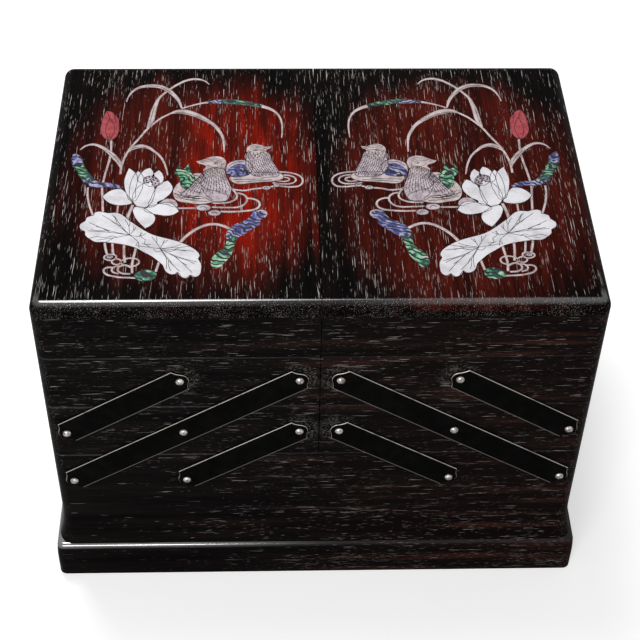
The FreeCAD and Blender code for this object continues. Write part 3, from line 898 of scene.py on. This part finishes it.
@dataclass
class Inlay:
    """Lotus, reeds and a pair of ducks in thin plates of shell and coral, let into each lid.

    Places are (x, y) in millimetres on the left lid, and the right lid has the mirror image. Where plates
    cross, the upper one lies in a higher layer, and layers are about a hundredth of a millimetre apart.
    """

    top: float = 222.6
    proud: float = 0.02
    layer: float = 0.012
    sunk: float = 0.25
    flatness: float = 0.03
    rim: float = 0.28
    resolution: int = 4
    fine_resolution: int = 2
    feather: float = 0.34
    fork: float = 0.35
    engraved_layer: int = 13
    pieces: dict[Shell, list[Piece]] = field(default_factory=dict)
    engraved: list[tuple[Sequence[Point], float]] = field(default_factory=list)

    def spline(self, curve: bpy.types.Curve, points: Sequence[Point],
               sharp: Sequence[int] = ()) -> bpy.types.Spline:
        """Add a smooth spline through points in millimetres, with corners at the sharp ones."""
        spline = curve.splines.new("BEZIER")
        spline.bezier_points.add(len(points) - 1)
        for index, (knot, (x, y)) in enumerate(zip(spline.bezier_points, points)):
            knot.co = (x * MM, y * MM, 0)
            knot.handle_left_type = knot.handle_right_type = "VECTOR" if index in sharp else "AUTO"
        return spline

    def new_curve(self, flat: bool) -> bpy.types.Curve:
        """Return an empty curve, flat for a filled outline or round for strokes."""
        curve = bpy.data.curves.new("cut", "CURVE")
        curve.dimensions = "2D" if flat else "3D"
        curve.resolution_u = self.resolution
        return curve

    def solid(self, curve: bpy.types.Curve, scale: float, level: float) -> Piece:
        """Return the mesh of a curve, flattened by a scale and set at a level in millimetres."""
        piece = bpy.data.objects.new("cut", curve)
        bpy.context.collection.objects.link(piece)
        pick([piece])
        bpy.ops.object.convert(target="MESH")
        piece = bpy.context.object
        piece.scale.z = scale
        piece.location.z = level * MM
        settle(piece)
        return piece

    def plate(self, shell: Shell, layer: int, points: Sequence[Point], sharp: Sequence[int] = (),
              rim: bool = True) -> None:
        """Cut a plate to a closed outline.

        Args:
            shell: What it is cut from.
            layer: How many plates it lies over.
            points: Points of the outline.
            sharp: Numbers of the points that are corners.
            rim: Whether a line is engraved along its edge.
        """
        curve = self.new_curve(flat=True)
        curve.fill_mode = "BOTH"
        curve.extrude = self.sunk / 2 * MM
        self.spline(curve, points, sharp).use_cyclic_u = True
        level = self.top + self.proud + self.layer * layer - self.sunk / 2
        self.pieces.setdefault(shell, []).append(self.solid(curve, 1.0, level))
        if rim:
            self.engraved.append((tuple(points) + (points[0],), self.rim))

    def strokes(self, shell: Shell, layer: int, lines: Sequence[tuple[Sequence[Point], object]],
                fine: bool = False) -> None:
        """Cut thin strips along open lines.

        Args:
            shell: What they are cut from.
            layer: How many plates they lie over.
            lines: For each strip its points, and one width for all of them or one for each.
            fine: Whether they are so thin and many that each has few faces.
        """
        curve = self.new_curve(flat=False)
        curve.bevel_depth = MM / 2
        curve.bevel_resolution = 0 if fine else 1
        if fine:
            curve.resolution_u = self.fine_resolution
        curve.use_fill_caps = True
        for points, widths in lines:
            spline = self.spline(curve, points)
            each = widths if isinstance(widths, tuple) else (widths,) * len(points)
            for knot, width in zip(spline.bezier_points, each):
                knot.radius = width
        level = self.top + self.proud + self.layer * layer
        self.pieces.setdefault(shell, []).append(self.solid(curve, self.flatness, level))

    def engrave(self, *lines: Sequence[Point], width: float = 0.28) -> None:
        """Note open lines that are engraved once every plate is cut."""
        self.engraved += [(line, width) for line in lines]

    def reeds(self) -> None:
        """Cut the stems and the blades of the reeds."""
        self.strokes(Shell.REED, 0, [
            (dots(116.8, 31, 116.3, 20, 116.9, 11, 118.1, 1, 118.8, -11, 117.9, -20, 116.8, -32), 1.4),
            (dots(126.7, -10, 126.3, -17, 125, -24, 123.2, -30, 121.5, -35), 1.3),
            (dots(109.1, -24, 109.2, -33), 1.2),
            (dots(101, -25, 102.5, -31, 103.4, -38), 1.8),
            (dots(114.3, -54, 113.3, -60, 112, -65), 1.4),
            (dots(110.1, -55, 109.5, -60, 108.7, -65), 1.3),
            (dots(103.8, -56, 103.3, -64, 102.4, -71), 1.5),
            (dots(97.2, -59, 98, -66, 98.5, -72, 98.1, -79), 1.5),
            (dots(84.5, -70, 85.2, -74, 86, -78), 1.5),
            (dots(109.7, 1, 109.2, 10, 107.5, 18.3, 105, 25, 100.8, 33.3, 96.7, 41.7, 93.3, 46.7,
                89.2, 51.7, 84, 56), 1.5),
        ])
        self.strokes(Shell.REED, 1, [
            (dots(74.6, -56, 70, -49.2, 65, -44.3, 60.8, -41.8, 56.7, -41, 52.5, -42.1, 48, -44.8), 2.0),
            (dots(110.6, 67, 109.6, 72, 106.9, 78, 103.3, 81.2, 98.3, 82.6, 92.5, 82.2, 87.5, 79.3,
                83.3, 74.2, 80, 68.3, 77.9, 61), (0.8, 1.0, 1.6, 2.2, 3.0, 3.3, 3.3, 2.8, 2.2, 1.2)),
            (dots(84.5, 55.9, 80, 57.6, 75, 57.1, 70, 54.8, 65, 51.2, 61.5, 48, 58.3, 44.5, 55.8, 40,
                53.3, 33.3, 52.6, 26.7, 52.3, 20), (1.0, 3.6, 4.6, 4.2, 3.4, 2.9, 2.4, 2.2, 1.8, 1.3, 0.8)),
            (dots(78, 60.5, 72.5, 63.2, 65.8, 65.7, 61.5, 66.6), (1.0, 1.2, 1.6, 2.4)),
            (dots(31.8, 63, 26.7, 60.3, 23.3, 57.3, 20.9, 53, 19.4, 46.7, 19.2, 40, 19.6, 33), (3.0, 2.5,
                1.8, 1.4, 1.2, 1.0, 0.7)),
            (dots(106.8, 20.6, 103.6, 24.2, 100, 25.7, 95.8, 24.7, 91.7, 20.9, 88.3, 16.6, 85.8, 10.8,
                84.2, 5, 83.3, 0), (1.4, 3.2, 3.5, 2.5, 1.7, 1.5, 1.3, 1.1, 0.8)),
        ])
        self.strokes(Shell.REED, 2, [
            (dots(62.3, 83.8, 65, 87.3, 70, 89.3, 75, 88.4, 80, 85, 85, 80, 88.8, 75, 91.7, 70, 93.3, 63.3,
                94.3, 56.7, 94.9, 50, 96, 45, 96.8, 41), (0.7, 1.2, 1.9, 2.0, 1.8, 1.6, 1.6, 1.9, 2.8, 3.6,
                3.7, 2.6, 1.2)),
            (dots(133.8, 22.5, 130.8, 26.2, 126.7, 27.4, 122.5, 25.5, 118.3, 21.6, 114.2, 16.4, 110.8, 10.6,
                109.4, 6), (0.8, 1.4, 2.0, 2.3, 2.6, 3.6, 3.0, 1.3)),
        ])
        self.engrave(
            dots(94.2, 61, 94.9, 54, 95.8, 47),
            dots(82, 56.6, 76, 56.2, 70, 53.6, 64, 49.6),
            dots(100, 82.1, 94, 82.2, 88, 79.2, 84, 74.4),
            dots(104.6, 23.2, 100.4, 24.9, 96.4, 24.2),
            dots(117.6, 20.6, 113.6, 15.4, 110.9, 10.8),
        )

    def abalone(self) -> None:
        """Cut the coloured blades, the twisted leaf and the pad on the water."""
        self.strokes(Shell.ABALONE, 2, [
            (dots(63, 66.2, 56.7, 67.1, 50, 66.9, 43.3, 66, 36.7, 64.5, 31, 62.6), (2.0, 3.8, 5.0, 4.6, 4.1,
                3.0)),
            (dots(136.8, 19.5, 135.2, 15, 134, 10, 131.5, 4.5, 128.3, -1.5, 125.5, -5.8, 121, -8, 116, -8.3,
                111.5, -9.3, 107.8, -11), (1.6, 6.2, 6.6, 5.5, 6.5, 6.5, 4.6, 4.2, 3.6, 1.4)),
        ])
        self.plate(Shell.ABALONE, 2, dots(35, -30.4, 31.2, -30.6, 28.4, -32.4, 29, -35.8, 31.2, -37.2,
            32, -41, 35.4, -44.6, 40, -49.2, 43.3, -51.7, 44.6, -55, 45.8, -60, 47.1, -65.8, 50, -70.8,
            54.6, -75.8, 57.1, -73.7, 57.1, -68.3, 55, -64.2, 50.8, -59.2, 49.6, -54.2, 50, -50, 48.3, -45,
            44.6, -40.8, 40, -38.3, 36.7, -34.2), rim=False)
        self.plate(Shell.ABALONE, 3, dots(96.9, -80, 93.3, -77.1, 89.2, -76.3, 85.6, -79, 86.7, -83.3,
            90.8, -84.8, 95.8, -83.3), rim=False)

    def bud(self) -> None:
        """Cut the coral bud."""
        self.plate(Shell.CORAL, 1, dots(121.3, 58.4, 118.6, 57.8, 116.4, 54.6, 114.4, 52, 113.3, 45.8,
            113.1, 40, 114.4, 33.6, 117.9, 30.9, 121.9, 34.6, 123.8, 40.8, 123.5, 46.7, 122.9, 54.2), (0, 7))
        self.engrave(
            dots(121.2, 57.5, 119.2, 51.5, 120.4, 45.5, 120.6, 38.5, 118.4, 31.8),
            dots(119.2, 51.5, 116.4, 46, 115.6, 39, 117.6, 32.2),
            dots(116.6, 54, 115.2, 47),
        )

    def ripples(self) -> None:
        """Cut the rings on the water."""
        self.strokes(Shell.REED, 1, [
            (dots(22, 2.6, 15, 1.7, 10, -0.8, 8.2, -4.4, 9.6, -9, 13.3, -10.4, 23.3, -9.6, 28.3, -11,
                35.8, -12.1, 40, -13.3, 44.2, -12.9, 48.2, -11.8), 1.3),
            (dots(21.5, -0.4, 15, -0.8, 12, -3.9, 13.3, -6.8, 18.3, -7.9, 25, -6.9), 1.2),
            (dots(22, -2.6, 17, -2.4, 15.6, -4, 17.5, -5.6, 22.4, -5.2), 1.1),
            (dots(48.4, -10.6, 45.4, -15, 44.6, -19.2, 47.5, -22.5, 53.3, -23.8, 58, -23.6), 1.3),
            (dots(44.4, -15.4, 40.8, -16.9, 39, -20.2, 40, -24.3, 43.3, -27, 50, -27.5, 58, -27.1), 1.3),
            (dots(77, -27.9, 66, -27.9), 1.4),
            (dots(39.4, -19.8, 35, -20.7, 32.3, -23.4, 32.4, -26.9, 35, -29.3, 40, -30.4, 46.7, -31,
                53.5, -30.8), 1.4),
            (dots(34, -30.8, 30.2, -30.2, 28.2, -32.6, 29.6, -35.8), 1.0),
            (dots(98, -75.2, 103, -72.8, 105.8, -75.6, 104.2, -78.6, 99, -79.6), 1.3),
            (dots(103.4, -73.4, 108, -74.4, 108.6, -77.4, 105.2, -79.4), 1.2),
            (dots(107.4, -74.6, 112.4, -75.2, 112.6, -78.4, 106.7, -81.5, 100, -82.3, 95, -82.6), 1.3),
            (dots(103, -68.2, 98, -67.6, 95, -70.2, 97, -73.4, 102, -73, 104.6, -70.6, 103, -68.2), 1.1),
            (dots(111, -64.4, 113.6, -66.6, 111, -69, 108, -68.4, 107.4, -65.6, 111, -64.4), 1.1),
            (dots(107.6, -67.6, 104.6, -69.4, 105.4, -72, 108.6, -71.6, 109.4, -69.2), 1.1),
        ])
        turns = [index * math.tau / 8 for index in range(8)]
        for x, y, across, along in (
            (-62.6, -27.6, 4.2, 2.6),
            (-56.5, -32, 3.6, 2.4),
            (-28.4, -11.2, 2.6, 1.7),
            (-22.6, -9, 2.0, 1.5),
            (-110.6, -66.6, 1.9, 1.4),
        ):
            ring = [(x + across * math.cos(turn), y + along * math.sin(turn)) for turn in turns]
            self.plate(Shell.FEATHER, 2, ring)
            self.engrave(((x - across * 0.5, y), (x, y + along * 0.4), (x + across * 0.4, y - along * 0.3)))

    def lotus(self) -> None:
        """Cut the open flower, from its back petals to the front."""
        for shell, layer, outline, sharp in (
            (Shell.PEARL, 3, dots(98.6, 1, 96.5, 4.6, 93.4, 6.4, 91.4, 2.5, 91, -3, 95, -7, 99.5, -5), (2,)),
            (Shell.PEARL, 3, dots(91.6, 0, 88.4, 4.4, 86, 0.5, 85.4, -4.5, 88, -9, 91.4, -7), (1,)),
            (Shell.FEATHER, 4, dots(88, -24, 84.5, -20.6, 80, -20.2, 77, -23.5, 77.3, -27.2, 82, -25), ()),
            (Shell.PEARL, 4, dots(105.2, 6.4, 101.2, 2, 99.8, -3, 100.5, -12, 101.9, -22, 104.8, -16.8,
                106.7, -9.5, 107.1, -3.2), (0,)),
            (Shell.PEARL, 4, dots(83, -4.6, 80.2, -9.5, 80.5, -14.5, 83.5, -19.3, 87.6, -24.3, 92, -27.3,
                91.5, -20, 89.5, -12, 87, -7), (0,)),
            (Shell.PEARL, 5, dots(99.8, 3.8, 97.2, 0, 96.4, -6, 98.5, -18, 101.5, -22.5, 103.6, -15,
                103.4, -6.5, 102, -0.2), (0,)),
            (Shell.FEATHER, 5, dots(96, -1.8, 92, -0.6, 88.8, -3, 87.6, -7, 90, -10, 95.6, -7.5), ()),
            (Shell.PEARL, 6, dots(93.4, -44.4, 97.6, -38.5, 100.1, -33.2, 100.2, -27, 95.8, -27, 92.4, -30.2,
                89.1, -33.4, 88.3, -37.6, 90.2, -41.8), (0,)),
            (Shell.PEARL, 7, dots(91.7, -5.2, 89.7, -12.5, 90.2, -19.5, 92.3, -25.6, 95.8, -27.7,
                99.3, -25.7, 101.4, -21.5, 101.6, -16.5, 99.3, -10.5, 96, -7), (0,)),
            (Shell.PEARL, 7, dots(118.2, -18.2, 115, -13.9, 110.8, -11.7, 107.2, -12.6, 104.4, -17.5,
                101.6, -23.6, 105.8, -25.3, 111.7, -24.7, 115.8, -21.8), (0, 5)),
            (Shell.PEARL, 7, dots(75.8, -30.6, 77.6, -26.8, 80.4, -23.9, 84.2, -23.4, 88.6, -25.1, 95, -28.6,
                91.5, -31.8, 86.7, -33.4, 81.7, -34.2, 78.2, -33), (0, 5)),
        ):
            self.plate(shell, layer, outline, sharp)
        stamens = dots(
            95.2, -2.8, 93.4, -1.8, 91.6, -1.8, 89.8, -3, 94.8, -4.8, 92.8, -4, 90.8, -4.4, 88.8, -5.4,
            93.8, -6.6, 91.8, -6.4, 89.8, -7.2, 91.4, -8.6)
        for x, y in stamens:
            self.engrave(((x - 0.35, y), (x + 0.35, y + 0.3)), width=1.2)

    def leaf(self) -> None:
        """Cut the big curled leaf, and engrave its veins."""
        outline = dots(121.5, -33.6, 121.2, -31.2, 117.6, -30.6, 114.2, -31.8, 110, -31.4, 106.7, -32.9,
            103.3, -36.7, 99.2, -40.8, 94.2, -45.4, 89.2, -49.2, 83.3, -51.7, 77.5, -53.8, 72.5, -56.3,
            68.3, -59.2, 65, -62.5, 63.4, -66, 64.2, -68.3, 62.6, -72, 62.4, -77, 63.2, -80.8, 65.8, -82.2,
            67.9, -80.6, 70, -83, 72.5, -82, 74.6, -78.4, 76, -80, 79.4, -79.4, 81.4, -76.8, 82.5, -73.3,
            84.8, -70.6, 88.3, -66.7, 93.3, -62.9, 98.3, -59.2, 104.2, -57.1, 110, -55.8, 115, -55,
            119.2, -54.8, 122.1, -52.7, 125, -49.4, 125.2, -46.7, 128, -44.4, 128.3, -40.6, 125.8, -38.1,
            125.2, -35.2)
        self.plate(Shell.PEARL, 9, outline, (0, 16, 21, 24, 39, 42))
        for root, *tips in (
            dots(101.5, -49.5, 109, -42, 117, -33.5, 105.5, -42, 110.5, -34, 102.6, -43, 104.6, -37,
                112, -45, 123.5, -39.5, 112, -48.5, 124, -46, 110, -51, 118.5, -53.5, 99.8, -46, 99.6, -42,
                96, -51, 92.6, -48.4, 96, -55, 95.8, -59.6),
            dots(84.5, -60.5, 87, -56, 89.5, -51, 83, -57, 80.6, -53.6, 79, -59, 73.6, -57.2, 77, -62,
                66.5, -62.6, 76, -65, 64.6, -71, 77, -68, 67, -79, 79, -69, 73.4, -78, 82, -66.5, 80.6, -76,
                90, -60, 97, -58),
        ):
            for number, (middle, end) in enumerate(zip(map(Vector, tips[::2]), map(Vector, tips[1::2]))):
                along = end - middle
                across = Vector((-along.y, along.x)) * (self.fork if number % 2 else -self.fork)
                bend = middle + across * 0.25
                fork = middle + along * 0.72 + across
                twig = bend.lerp(fork, 0.55) + across * 0.15
                self.engrave((root, bend, end), (bend, twig, fork))
        self.engrave(
            dots(122.4, -52, 118.5, -50.6, 114, -51.8, 110.5, -50.2, 107.6, -51.6),
            dots(95.4, -47.6, 95, -51.4, 92.6, -53.4, 93, -56.6, 89.6, -57),
            dots(88, -60.4, 86, -63, 82.6, -61.6, 79, -62.6, 75.6, -61.4, 71, -62.4),
        )

    def plumage(self, first: Sequence[Point], last: Sequence[Point], rows: int) -> None:
        """Engrave rows of short feather strokes that fan from one edge of a body to the other."""
        for row in range(rows):
            share = (row + 0.5) / rows
            line = [Vector(start).lerp(Vector(end), share) for start, end in zip(first, last)]
            dense = [start.lerp(end, part / 3) for start, end in zip(line, line[1:]) for part in range(3)]
            for start, end in zip(dense[row % 2::2], dense[row % 2 + 1::2]):
                along = end - start
                across = Vector((along.y, -along.x))
                bowed = start + along * 0.6 + across * 0.12
                tip = end + along * 0.3 - across * 0.1
                self.engrave((start - along * 0.3, bowed, tip), width=self.feather)

    def head(self, outline: Sequence[Point], eye: Point, facing: int) -> None:
        """Cut a duck's head and engrave its eye and the sweep of its crest.

        Args:
            outline: Points of the head, the first and last of them the tips of the crest.
            eye: Middle of the eye.
            facing: 1 for a crest that points to the left, and -1 for one that points to the right.
        """
        def near(*points: Point) -> list[Point]:
            """Return points given from the eye, towards the bill and up."""
            return [(eye[0] + x * facing, eye[1] + y) for x, y in points]

        self.plate(Shell.REED, 6, outline, (0, len(outline) - 1), rim=False)
        for rise in (4.4, 3.1, 1.8):
            crest = near((-8.6, rise - 1.4), (-5, rise), (-0.6, rise + 0.4), (3.4, rise - 1.6))
            self.engrave(crest, width=0.2)
        self.engrave(
            near((-1.2, 0.2), (0, 1.0), (1.3, 0.2), (0, -0.7), (-1.2, 0.2)),
            near((-5.0, -1.2), (-2.6, -2.6), (0.4, -4.8), (0.6, -7.2)),
            near((5.0, 0.6), (3.2, -1.4), (4.0, -3.4)),
            near((-3.2, -4.2), (-1.6, -6.0), (-1.4, -8)),
            width=0.22,
        )
        self.engrave(near((-0.3, 0.1), (0.3, 0.1)), width=0.7)

    def front_duck(self) -> None:
        """Cut the nearer duck, its reflection and its wing."""
        self.plate(Shell.REED, 3, dots(79.8, -13, 79.4, -18, 76.7, -22.2, 71.7, -23.5, 65, -24.9, 57, -23.2,
            50.4, -22.4, 50, -17, 62, -12, 68, -4, 74, -4, 78, -8))
        self.plate(Shell.REED, 3, dots(71.4, -2, 69, 1.3, 65.5, 1.8, 62.6, 0, 64, -6, 69, -7))
        self.plate(Shell.ABALONE, 4, dots(79.4, 1.6, 78.7, 5.6, 77.3, 9.4, 76, 5, 74.5, 5.4, 72.1, 9.8,
            71, 4.6, 69.6, 1, 67.8, -3, 69.4, -7.4, 72.5, -12.2, 75.8, -8.6, 76.6, -2.6), (2, 5, 10))
        body = dots(63.2, 3.4, 66, -1.8, 68.4, -5.4, 70.8, -10, 74.2, -14.4, 75.4, -17.6, 70, -18,
            62.4, -18.8, 60, -21.2, 56, -22.5, 50.5, -22, 48.2, -17, 47.8, -11, 49.6, -5, 51.2, 0.4,
            52.4, 5.4, 57, 7)
        self.plate(Shell.FEATHER, 5, body)
        self.plumage(body[:6], body[-1:-7:-1], 15)
        self.plumage(dots(76, -14, 70, -17, 63, -18.4), dots(79, -17, 72, -21, 62, -22), 4)
        self.engrave(
            dots(79, -15.6, 70, -19.4, 62.6, -20),
            dots(78, -18.8, 70, -21.4, 60.6, -22.6),
            dots(75.6, -6, 70, -13, 64, -15.4),
            dots(63, 1, 64.6, -5, 64, -11, 61.6, -17, 58, -21),
            dots(69.8, 0.2, 66, -1),
        )
        self.head(dots(67.8, 12, 65, 12.9, 61.7, 15, 58.3, 16.2, 55, 16.1, 52.3, 14.4, 51, 11, 51.3, 7.8,
            52.4, 4.6, 53.6, 1.4, 57, 0, 61.3, 0.8, 63.6, 4, 62.2, 7.6, 63.6, 9, 66.4, 10.1), (-56.9, 10), 1)

    def rear_duck(self) -> None:
        """Cut the farther duck, its reflection and its wing."""
        self.plate(Shell.REED, 2, dots(48.8, -1.6, 47.6, -5.8, 44, -7.9, 38, -7.3, 30, -6.2, 24.5, -5.8,
            19.4, -3.6, 18.8, -0.6, 21.5, 1.8, 30, 2, 40, 2))
        self.plate(Shell.FEATHER, 3, dots(51, 3, 50.2, 9.4, 46.6, 12.4, 41, 13, 37, 10, 37, 2, 43, -1.6,
            49, -1))
        self.plate(Shell.ABALONE, 4, dots(50.8, 1.4, 49.4, 5.4, 46.4, 8.6, 41.6, 9.6, 38, 7, 38, 0,
            43, -1.4, 49, -1), rim=False)
        body = dots(39.5, 19.5, 40.3, 12, 40, 6.7, 38.5, 3, 36.3, 0, 32, -1.8, 26, -2.1, 21.7, -1,
            21.4, 2.5, 22.7, 6.5, 24.5, 10.5, 25.8, 15, 27.4, 19.8, 33, 22)
        self.plate(Shell.FEATHER, 5, body)
        self.plumage(body[:6], body[-2:-8:-1], 13)
        self.engrave(
            dots(49.6, 7.6, 45.6, 11, 41, 11.4),
            dots(47, -4, 38, -4, 30, -3.4),
            dots(45, -6.2, 36, -5.4, 25, -4.4),
        )
        self.head(dots(25.6, 25.3, 28.8, 24.9, 31.5, 26.4, 34.5, 27.2, 37.3, 26.3, 39.4, 23.4, 39.4, 20,
            38, 16.6, 34.6, 14.6, 30.6, 15.8, 28.6, 19, 28.4, 21.8, 26.2, 23.3), (-34.6, 21.6), -1)

    def build(self, finishes: Finishes) -> None:
        """Cut the inlay of the left lid, join it by what it is cut from, and mirror it to the right."""
        self.reeds()
        self.abalone()
        self.bud()
        self.ripples()
        self.lotus()
        self.leaf()
        self.rear_duck()
        self.front_duck()
        self.strokes(Shell.ENGRAVING, self.engraved_layer, self.engraved, fine=True)
        for shell, pieces in self.pieces.items():
            left = joined(pieces, "left_lid_" + shell.value)
            right = copied(left, Matrix.Scale(-1, 4, (1, 0, 0)))
            right.name = right.data.name = "right_lid_" + shell.value
            for piece, body in ((left, "left_lid"), (right, "right_lid")):
                outwards(piece)
                finish(piece, finishes.inlay[shell], body, "inlay")


@dataclass
class Frame:
    """The wooden pieces, arms and hinges that come from the CAD model, each finished by its name's ending."""

    endings: dict[str, tuple[str, ...]] = field(default_factory=lambda: {
        "lid_wood": ("_lid_board",),
        "across_wood": ("_front", "_back", "_front_rail", "_back_rail"),
        "deep_wood": ("_side", "_inner_rail", "_outer_rail", "_bottom"),
        "arm_metal": ("_arms",),
        "hinge_brass": ("_leaves",),
    })

    def build(self, finishes: Finishes) -> None:
        """Give every piece its finish, in all its material slots."""
        for name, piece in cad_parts.items():
            for finish_name, endings in self.endings.items():
                if name.endswith(endings):
                    for place in piece.material_slots:
                        place.material = getattr(finishes, finish_name)


# Studio


@dataclass
class Lamp:
    """A soft rectangular lamp that points at the middle of the box."""

    name: str
    place: tuple[float, float, float]
    size: tuple[float, float]
    power: float
    target: tuple[float, float, float] = (0.0, 0.0, 0.12)

    def build(self) -> None:
        """Add the lamp."""
        deselect()
        bpy.ops.object.light_add(type="AREA", location=self.place)
        lamp = bpy.context.object
        lamp.name = self.name
        lamp.data.shape = "RECTANGLE"
        lamp.data.size, lamp.data.size_y = self.size
        lamp.data.energy = self.power
        aim = Vector(self.target) - Vector(self.place)
        lamp.rotation_euler = aim.to_track_quat("-Z", "Y").to_euler()


@dataclass
class Studio:
    """The floor, the lamps, the pale surroundings and the camera."""

    floor_size: float = 12.0
    lens: float = 84.24
    camera_place: tuple[float, float, float] = (-0.02387, -0.64495, 0.76075)
    pitch: float = 45.361
    yaw: float = -2.427
    roll: float = 1.345
    ambient: float = 0.25
    floor_glow: float = 0.55
    floor_shades: Span = (0.86, 0.9)
    far_clip: float = 50.0
    lamps: tuple[Lamp, ...] = (
        Lamp("key", (-0.17, 0.31, 1.24), (0.42, 0.34), 8.6),
        Lamp("strip", (-0.32, -1.05, 0.50), (0.46, 0.22), 5.0),
    )

    def white(self, tree: bpy.types.NodeTree, plain: bpy.types.NodeSocket, bright: str) -> Signal:
        """Return a shader that is white where it is seen or mirrored, and plain as a light.

        Args:
            tree: The nodes of the floor or the surroundings.
            plain: The shader that lights the box.
            bright: The type of the shader that shows as white.

        Returns:
            The mixed shader.
        """
        path = tree.nodes.new("ShaderNodeLightPath")
        seen = Signal(tree, path.outputs["Is Camera Ray"])
        seen = seen.at_least(Signal(tree, path.outputs["Is Glossy Ray"]))
        seen = seen.at_least(Signal(tree, path.outputs["Is Transmission Ray"]))
        glow = seen.node(bright, {}, {"Color": (1, 1, 1, 1), "Strength": 1.0})
        return seen.node("MixShader", {}, {0: seen, 1: Signal(tree, plain), 2: glow})

    def surround(self) -> None:
        """Make the pale surroundings."""
        world = bpy.data.worlds.new("surroundings")
        bpy.context.scene.world = world
        world.use_nodes = True
        tree = world.node_tree
        plain = tree.nodes["Background"]
        plain.inputs["Color"].default_value = (1, 1, 1, 1)
        plain.inputs["Strength"].default_value = self.ambient
        shader = self.white(tree, plain.outputs[0], "Background")
        tree.links.new(shader.socket, tree.nodes["World Output"].inputs["Surface"])

    def floor(self) -> None:
        """Lay the floor, which stays white and keeps a soft shadow."""
        deselect()
        bpy.ops.mesh.primitive_plane_add(size=self.floor_size)
        floor = bpy.context.object
        floor.name = "floor"
        paint = Paint("floor_paper", {"Roughness": 0.9, "Specular IOR Level": 0.0})
        tree = paint.tree
        shade = paint.noise((3, 3, 3)).ramp(0, 1, *self.floor_shades)
        paint.feed(Base_Color=shade.tint((0, 0, 0), (1, 1, 1)))
        paint.shader.inputs["Emission Color"].default_value = (1, 1, 1, 1)
        path = paint.start("LightPath", "Is Camera Ray")
        glow = path.node("Emission", {}, {"Color": (1, 1, 1, 1), "Strength": self.floor_glow})
        added = path.node("AddShader", {}, {0: Signal(tree, paint.shader.outputs[0]), 1: glow})
        mixed = path.node("MixShader", {}, {0: path, 1: Signal(tree, paint.shader.outputs[0]), 2: added})
        tree.links.new(mixed.socket, tree.nodes["Material Output"].inputs["Surface"])
        floor.data.materials.append(paint.material)

    def camera(self) -> None:
        """Set the camera at the photograph's viewing angle."""
        deselect()
        bpy.ops.object.camera_add(location=self.camera_place)
        camera = bpy.context.object
        turn = Matrix.Rotation(math.radians(self.yaw), 4, "Z")
        tilt = Matrix.Rotation(math.radians(90 - self.pitch), 4, "X")
        lean = Matrix.Rotation(math.radians(self.roll), 4, "Z")
        camera.rotation_euler = (turn @ tilt @ lean).to_euler()
        camera.data.lens = self.lens
        camera.data.clip_end = self.far_clip
        bpy.context.scene.camera = camera

    def build(self) -> None:
        """Make the studio."""
        self.surround()
        self.floor()
        for lamp in self.lamps:
            lamp.build()
        self.camera()
        bpy.context.scene.view_settings.view_transform = "Standard"


def main() -> None:
    """Build the looks of the box and its studio."""
    logging.basicConfig(level=logging.INFO, format="%(message)s")
    finishes = Finishes()
    Frame().build(finishes)
    Pivots().build(finishes)
    Inlay().build(finishes)
    Linings().build(finishes)
    Studio().build()


if __name__ == "__main__":
    main()
